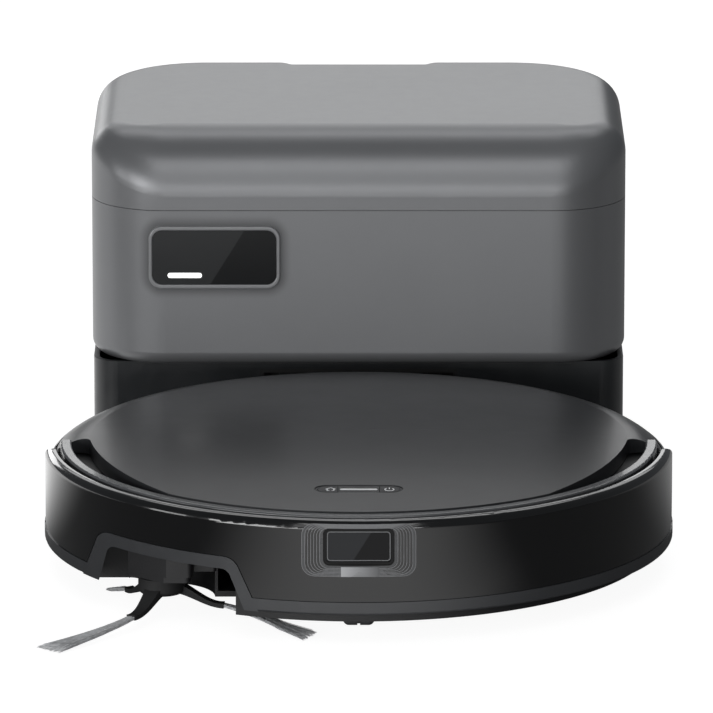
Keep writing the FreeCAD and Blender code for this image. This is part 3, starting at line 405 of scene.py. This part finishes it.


# --------------------------------------------------- buttons and light bar
# printed home and power icons, given a faint painted glow by a weak white emission
glowing_icon_material = M("icon_print_painted_glow", srgb((214, 215, 217)), 0.4, vary=0.0, rough_vary=0.0, emit=(1, 1, 1, 1), emit_strength=0.12)
PY = -111.0
hx = -14.3
home = [[(hx - 2.5, PY + 0.2), (hx, PY + 2.6), (hx + 2.5, PY + 0.2)],
        [(hx - 1.7, PY + 0.9), (hx - 1.7, PY - 2.1), (hx - 0.6, PY - 2.1)],
        [(hx + 1.7, PY + 0.9), (hx + 1.7, PY - 2.1), (hx + 0.6, PY - 2.1)]]
v, f = ribbon(home, on_dome(0.30), 0.5, -0.05, 0.05, closed=False)
mesh_obj("home_icon", v, f, mat=glowing_icon_material, slot_name="light_white", body="button_home")
px = 15.5
arc = [(px + 2.3 * math.cos(math.radians(a)), PY - 0.2 + 2.3 * math.sin(math.radians(a))) for a in range(125, 416, 15)]
bar = [(px, PY + 0.4), (px, PY + 2.8)]
v, f = ribbon([arc, bar], on_dome(0.30), 0.5, -0.05, 0.05, closed=False)
mesh_obj("power_icon", v, f, mat=glowing_icon_material, slot_name="light_white", body="button_power")
cap = []
for a in range(-90, 91, 15):
    cap.append((9.5 - 1.0 + 1.0 * math.cos(math.radians(a)), PY + 1.0 * math.sin(math.radians(a))))
for a in range(90, 271, 15):
    cap.append((-9.5 + 1.0 + 1.0 * math.cos(math.radians(a)), PY + 1.0 * math.sin(math.radians(a))))
bar_mat = M("light_bar_robot", srgb((206, 207, 208)), 0.35, vary=0.0, rough_vary=0.0, emit=(1, 1, 1, 1), emit_strength=0.10)
v, f = slab([cap], on_dome(0.35), -0.35, 0.06)
mesh_obj("robot_light_bar", v, f, mat=bar_mat, slot_name="light_white", body="robot")

# ------------------------------------------- ripple round the sensor window
ripple_mat = M("ripple_lines", srgb((104, 105, 107)), 0.3, coat=0.3, vary=0.02, rough_vary=0.02)
film_mat = M("ripple_field", srgb((50, 51, 53)), 0.28, coat=0.4, vary=0.02, rough_vary=0.02)
rings = []
for k in range(7):
    t = k / 6.0
    hxk, hzk = 19.6 + t * 9.0, 10.4 + t * 3.1
    rings.append(rrect(0.0, 51.6 - t * 1.1, hxk, hzk, 4.0 + t * 2.0))
v, f = ribbon(rings, on_bumper, 0.26, -0.05, 0.10)
mesh_obj("window_ripple", v, f, mat=ripple_mat, slot_name="ring_grey", body="bumper")
inner = rrect(0.0, 52.3, 18.0, 9.9, 3.2)
outer = rrect(0.0, 50.5, 28.8, 13.7, 6.2)
verts, faces = [], []
n = len(inner)
for loop, lift in ((inner, 0.03), (outer, 0.03), (inner, -0.05), (outer, -0.05)):
    verts += [on_bumper(u, w, lift) for u, w in loop]
for i in range(n):
    j = (i + 1) % n
    faces.append([i, j, n + j, n + i])
    faces.append([2 * n + i, 3 * n + i, 3 * n + j, 2 * n + j])
    faces.append([i, 2 * n + i, 2 * n + j, j])
    faces.append([n + i, n + j, 3 * n + j, 3 * n + i])
mesh_obj("ripple_field", verts, faces, mat=film_mat, slot_name="ring_grey", body="bumper")
tab_mat = ramp_x("sensor_tab", -0.009, 0.0102, srgb((150, 151, 153)), srgb((64, 65, 67)), rough=0.35)
tab = []
for i in range(13):
    tab.append((-8.9 + 19.1 * i / 12, 36.9))
tab += [(u, 41.9) for u, _ in reversed(tab)]
v, f = slab([tab], on_bumper, 0.02, 0.16)
mesh_obj("sensor_tab", v, f, mat=tab_mat, slot_name="ring_grey", body="bumper")
rim_mat = M("window_rim", srgb((92, 93, 95)), 0.3, coat=0.4, vary=0.0, rough_vary=0.0)


def on_window(u, w, lift):
    return P(u, -160.6 - lift, w)


v, f = ribbon([rrect(0.0, 52.3, 15.7, 7.4, 1.5)], on_window, 0.45, -0.1, 0.14)
mesh_obj("window_rim", v, f, mat=rim_mat, slot_name="ring_grey", body="bumper")

# ------------------------------------------------------------------ strands
def strands(name, lines, body, slot_name, replaced=(), mat=None):
    """lines: (points, radius at root, radius at tip). Three-sided tapering strands in one mesh."""
    verts, faces = [], []
    for pts, r0, r1 in lines:
        n = len(pts)
        k = len(verts)
        for i, p in enumerate(pts):
            a = pts[max(0, i - 1)]
            b = pts[min(n - 1, i + 1)]
            d = (b - a).normalized()
            u = d.cross(Vector((0, 0, 1)))
            if u.length < 1e-6:
                u = d.cross(Vector((1, 0, 0)))
            u.normalize()
            w = d.cross(u)
            r = (r0 + (r1 - r0) * i / (n - 1)) * MM
            for c in range(3):
                t = 2 * math.pi * c / 3
                verts.append(p + u * (r * math.cos(t)) + w * (r * math.sin(t)))
        for i in range(n - 1):
            for c in range(3):
                d2 = (c + 1) % 3
                faces.append([k + 3 * i + c, k + 3 * i + d2, k + 3 * i + 3 + d2, k + 3 * i + 3 + c])
        faces.append([k, k + 2, k + 1])
        e = k + 3 * (n - 1)
        faces.append([e, e + 1, e + 2])
    o = mesh_obj(name, verts, faces, slot_name=slot_name, mat=mat, body=body, smooth=True)
    if replaced:
        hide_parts(*replaced)
    return o


rnd = random.Random(7)
SBX, SBY = -100.0, -106.0
ARMS = [(0.0, -28.0, 86.5), (126.0, -10.0, 58.0), (247.0, -18.0, 86.5)]
lines = []
for a0, sw, rt in ARMS:
    q = (rt - 32.0) / 54.5
    keys = [(29.5, a0 + sw * 0.25, 3.6, 8.0, 1.4), (32.0, a0 + sw * 0.28, 3.9, 7.8, 1.5), (32 + 18 * q, a0 + sw * 0.60, 6.2, 5.4, 1.6),
            (32 + 36 * q, a0 + sw * 0.86, 10.0, 3.1, 1.5), (rt - 0.5, a0 + sw, 15.6 * q ** 0.5, 1.5, 1.1)]
    for s_ in range(230):
        across = rnd.uniform(-0.5, 0.5)
        up = rnd.uniform(-0.5, 0.5)
        wob = rnd.uniform(-0.35, 0.35)
        reach = 1.0 - abs(rnd.gauss(0, 0.045))
        pts = []
        m_ = 12
        for i in range(m_ + 1):
            t = i / m_ * reach * (len(keys) - 1)
            j = min(int(t), len(keys) - 2)
            g = t - j
            r, a, wd, z, th = [keys[j][c] + (keys[j + 1][c] - keys[j][c]) * g for c in range(5)]
            ar = math.radians(a)
            s2 = across * wd + wob * (i / m_) ** 2 * 1.2
            x = SBX + r * math.cos(ar) - math.sin(ar) * s2
            y = SBY + r * math.sin(ar) + math.cos(ar) * s2
            pts.append(P(x, y, max(0.75, z + up * th)))
        lines.append((pts, 0.14, 0.10))
strands("side_brush_strands", lines, "side_brush", "bristle_grey", ("side_brush_bristles",))

# ------------------------------------------------------------- dust bag
def dust_bag():
    """A half-filled paper-cloth bag: two bulged sheets joined by a flat seam, with pleats that start at the seam."""
    nx, ny = 84, 52
    cx, cy, hx_, hy_ = 0.0, 255.4, 116.5, 68.6
    zmid, up, down = 104.0, 39.5, 31.2
    verts, faces = [], []

    def plan(u, v):
        su, sv = abs(u) ** 1.0, abs(v) ** 1.0
        k = 1.0 - 0.115 * (su ** 3) * (sv ** 3)
        return u * hx_ * k, v * hy_ * k

    def puff(u, v):
        return max(0.0, (1 - abs(u) ** 3.2) * (1 - abs(v) ** 2.6)) ** 0.52

    for side in (1, -1):
        for j in range(ny + 1):
            for i in range(nx + 1):
                u, v = -1 + 2 * i / nx, -1 + 2 * j / ny
                x, y = plan(u, v)
                f = puff(u, v)
                edge = (1 - f) * min(1.0, f * 4.0)
                ang = math.atan2(v * 1.2, u)
                pl = math.sin(ang * 34 + 2.2 * noise.noise(Vector((x, y, side * 40)) * 0.02))
                n1 = noise.noise(Vector((x, y, side * 90.0)) * 0.022)
                n2 = noise.noise(Vector((x * 1.4, y, side * 20.0)) * 0.06)
                d = f * (1.0 - 0.055 * abs(n1) * 2.0) * (up if side > 0 else down)
                d += edge * (2.2 * pl + 2.4 * n2) + f * 1.2 * n2
                z = zmid + 0.35 * side + side * max(0.0, d)
                z = min(145.4, max(72.4, z))
                verts.append(P(cx + x, cy + y, z))
    w = nx + 1
    off = w * (ny + 1)
    for j in range(ny):
        for i in range(nx):
            a = j * w + i
            faces.append([a, a + 1, a + w + 1, a + w])
            faces.append([off + a, off + a + w, off + a + w + 1, off + a + 1])
    rim = [i for i in range(w)] + [j * w + nx for j in range(1, ny + 1)] + \
          [ny * w + i for i in range(nx - 1, -1, -1)] + [j * w for j in range(ny - 1, 0, -1)]
    for a, b in zip(rim, rim[1:] + rim[:1]):
        faces.append([a, b, off + b, off + a])
    # neck that meets the collar plate
    k = len(verts)
    for (yy, rr) in ((296.0, 13.0), (312.0, 13.6), (324.0, 14.6), (326.1, 19.5)):
        for c in range(28):
            t = 2 * math.pi * c / 28
            verts.append(P(rr * math.cos(t), yy, 108.0 + rr * math.sin(t)))
    for g in range(3):
        for c in range(28):
            d2 = (c + 1) % 28
            faces.append([k + 28 * g + c, k + 28 * g + d2, k + 28 * (g + 1) + d2, k + 28 * (g + 1) + c])
    o = mesh_obj("dust_bag_cloth", verts, faces, slot_name="bag_cloth", body="station", smooth=True)
    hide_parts("dust_bag")
    return o


dust_bag()

# small window frames at the top of the dock bay


def on_bay(u, w, lift):
    return P(u, 175.95 - lift, w)


v, f = ribbon([rrect(x, 58.2, 3.2, 1.5, 0.7, seg=3, long_seg=2) for x in (-39.5, 40.3)], on_bay, 0.4, -0.05, 0.12)
mesh_obj("bay_window_frames", v, f, slot_name="ring_grey", body="station")

# main brush: six rows of strands round the core, in tufts along its length
lines = []
for row in range(6):
    for t in range(54):
        x0 = -80.6 + t * 161.2 / 53
        for s_ in range(7):
            ang = math.radians(60 * row) + rnd.gauss(0, 0.022)
            x = x0 + rnd.uniform(-1.0, 1.0)
            lean = rnd.gauss(0, 0.035)
            pts = []
            for i in range(4):
                r = 8.8 + (18.6 - 8.8 - abs(rnd.gauss(0, 0.05))) * i / 3
                aa = ang + lean * (i / 3) ** 2
                pts.append(P(max(-81.4, min(81.4, x + rnd.uniform(-0.1, 0.1) * i)), 31.0 + r * math.cos(aa + math.pi / 2), 21.0 + r * math.sin(aa + math.pi / 2)))
            lines.append((pts, 0.16, 0.12))
strands("main_brush_strands", lines, "main_brush", "bristle_grey", ("main_brush_bristles",))

# ------------------------------------------------------------------- stage
def world():
    w = bpy.data.worlds.new("studio")
    scene.world = w
    w.use_nodes = True
    nt = w.node_tree
    for n in list(nt.nodes):
        nt.nodes.remove(n)
    out = nt.nodes.new("ShaderNodeOutputWorld")
    lp = nt.nodes.new("ShaderNodeLightPath")
    mix = nt.nodes.new("ShaderNodeMixShader")
    dim = nt.nodes.new("ShaderNodeBackground")
    dim.inputs["Color"].default_value = (0.9, 0.95, 1.0, 1)
    dim.inputs["Strength"].default_value = 0.13
    white = nt.nodes.new("ShaderNodeBackground")
    white.inputs["Color"].default_value = (1, 1, 1, 1)
    white.inputs["Strength"].default_value = 1.0
    nt.links.new(lp.outputs["Is Camera Ray"], mix.inputs[0])
    nt.links.new(dim.outputs[0], mix.inputs[1])
    nt.links.new(white.outputs[0], mix.inputs[2])
    nt.links.new(mix.outputs[0], out.inputs[0])


def floor():
    bpy.ops.mesh.primitive_plane_add(size=40, location=(0, 0, -0.0002))
    f = bpy.context.object
    f.name = "studio_floor"
    m = bpy.data.materials.new("studio_floor")
    m.use_nodes = True
    nt = m.node_tree
    for n in list(nt.nodes):
        nt.nodes.remove(n)
    out = nt.nodes.new("ShaderNodeOutputMaterial")
    lp = nt.nodes.new("ShaderNodeLightPath")
    mix = nt.nodes.new("ShaderNodeMixShader")
    add = nt.nodes.new("ShaderNodeAddShader")
    d = nt.nodes.new("ShaderNodeBsdfDiffuse")
    d.inputs["Color"].default_value = (0.22, 0.22, 0.22, 1)
    e = nt.nodes.new("ShaderNodeEmission")
    e.inputs["Strength"].default_value = 0.93
    d2 = nt.nodes.new("ShaderNodeBsdfDiffuse")
    d2.inputs["Color"].default_value = (0.15, 0.15, 0.15, 1)
    glow = nt.nodes.new("ShaderNodeEmission")
    glow.name = "glow"
    glow.inputs["Strength"].default_value = 0.95
    geo = nt.nodes.new("ShaderNodeNewGeometry")
    sep = nt.nodes.new("ShaderNodeSeparateXYZ")
    nt.links.new(geo.outputs["Position"], sep.inputs[0])
    def node(kind, op=None, a=None, b=None):
        n = nt.nodes.new(kind)
        if op:
            n.operation = op
        for i, v in enumerate((a, b)):
            if v is None:
                continue
            if isinstance(v, (int, float)):
                n.inputs[i].default_value = v
            else:
                nt.links.new(v, n.inputs[i])
        return n.outputs[0]

    def step(v, lo, hi, a, b):
        n = nt.nodes.new("ShaderNodeMapRange")
        n.interpolation_type = "SMOOTHSTEP"
        n.inputs["From Min"].default_value, n.inputs["From Max"].default_value = lo, hi
        n.inputs["To Min"].default_value, n.inputs["To Max"].default_value = a, b
        nt.links.new(v, n.inputs["Value"])
        return n.outputs["Result"]

    left = node("ShaderNodeMath", "MULTIPLY", sep.outputs["X"], -1.0)
    beside = node("ShaderNodeMath", "ADD", step(left, 0.14, 0.18, 0.0, 1.0), step(sep.outputs["X"], 0.16, 0.2, 0.0, 0.18))
    back = node("ShaderNodeMath", "MULTIPLY", beside,
                node("ShaderNodeMath", "MULTIPLY", step(sep.outputs["Y"], -0.08, 0.1, 0.0, 1.0), step(sep.outputs["Y"], 3.0, 5.0, 1.0, 0.0)))
    tint = nt.nodes.new("ShaderNodeCombineColor")
    for k in range(3):
        nt.links.new(back, tint.inputs[k])
    nt.links.new(tint.outputs[0], glow.inputs["Color"])
    add2 = nt.nodes.new("ShaderNodeAddShader")
    nt.links.new(d2.outputs[0], add2.inputs[0])
    nt.links.new(glow.outputs[0], add2.inputs[1])
    ahead = node("ShaderNodeMath", "MULTIPLY", sep.outputs["Y"], -1.0)
    slope = node("ShaderNodeMath", "DIVIDE", node("ShaderNodeMath", "ABSOLUTE", sep.outputs["X"]),
                 node("ShaderNodeMath", "MAXIMUM", ahead, 0.05))
    front = node("ShaderNodeMath", "MULTIPLY", step(slope, 0.1, 0.75, 1.0, 0.0),
                 node("ShaderNodeMath", "MULTIPLY", step(ahead, 0.24, 0.32, 0.0, 1.0), step(ahead, 0.9, 1.5, 1.0, 0.0)))
    tint2 = nt.nodes.new("ShaderNodeCombineColor")
    for k in range(3):
        nt.links.new(front, tint2.inputs[k])
    glow2 = nt.nodes.new("ShaderNodeEmission")
    glow2.name = "glow_front"
    glow2.inputs["Strength"].default_value = 0.85
    nt.links.new(tint2.outputs[0], glow2.inputs["Color"])
    add3 = nt.nodes.new("ShaderNodeAddShader")
    nt.links.new(add2.outputs[0], add3.inputs[0])
    nt.links.new(glow2.outputs[0], add3.inputs[1])
    nt.links.new(d.outputs[0], add.inputs[0])
    nt.links.new(e.outputs[0], add.inputs[1])
    nt.links.new(lp.outputs["Is Camera Ray"], mix.inputs[0])
    nt.links.new(add3.outputs[0], mix.inputs[1])
    nt.links.new(add.outputs[0], mix.inputs[2])
    nt.links.new(mix.outputs[0], out.inputs[0])
    f.data.materials.append(m)
    return f


def area(name, loc, target, sx, sy, power, color=(1, 1, 1)):
    d = bpy.data.lights.new(name, "AREA")
    d.shape = "RECTANGLE"
    d.size, d.size_y = sx, sy
    d.energy = power
    d.color = color
    o = bpy.data.objects.new(name, d)
    COL.objects.link(o)
    o.location = loc
    o.rotation_euler = (Vector(target) - Vector(loc)).to_track_quat("-Z", "Y").to_euler()
    return o


world()
floor()
LIGHTS = [
    # name, place, target, width, height, watts
    ("left_front_low", (-1.5, -2.0, 0.35), (0, 0, 0.1), 1.3, 0.7, 20.0),
    ("front_low", (0.0, -2.6, 0.22), (0, 0, 0.1), 2.0, 0.4, 12.5),
    ("front_mid", (0.0, -2.5, 1.45), (0, 0, 0.1), 2.0, 1.3, 9.0),
    ("front_top", (0.0, -1.8, 2.2), (0, 0, 0.1), 1.6, 1.0, 11.5),
    ("back_high", (0.0, 1.1, 2.0), (0, 0.1, 0.1), 2.2, 0.8, 10.5),
    ("back_mid", (0.0, 1.9, 1.35), (0, 0.1, 0.1), 2.2, 0.7, 6.0),
    ("back_low_mid", (0.0, 2.4, 0.75), (0, 0.1, 0.15), 1.2, 0.6, 3.4),
    ("left_side_low", (-2.3, -0.9, 0.3), (0, 0, 0.1), 0.7, 0.6, 5.0),
    ("back_left", (-1.15, 2.2, 0.55), (-0.1, 0.1, 0.15), 0.9, 0.7, 6.0),
]
for nm, loc, tgt, sx, sy, pw in LIGHTS:
    area(nm, loc, tgt, sx, sy, pw).visible_camera = False
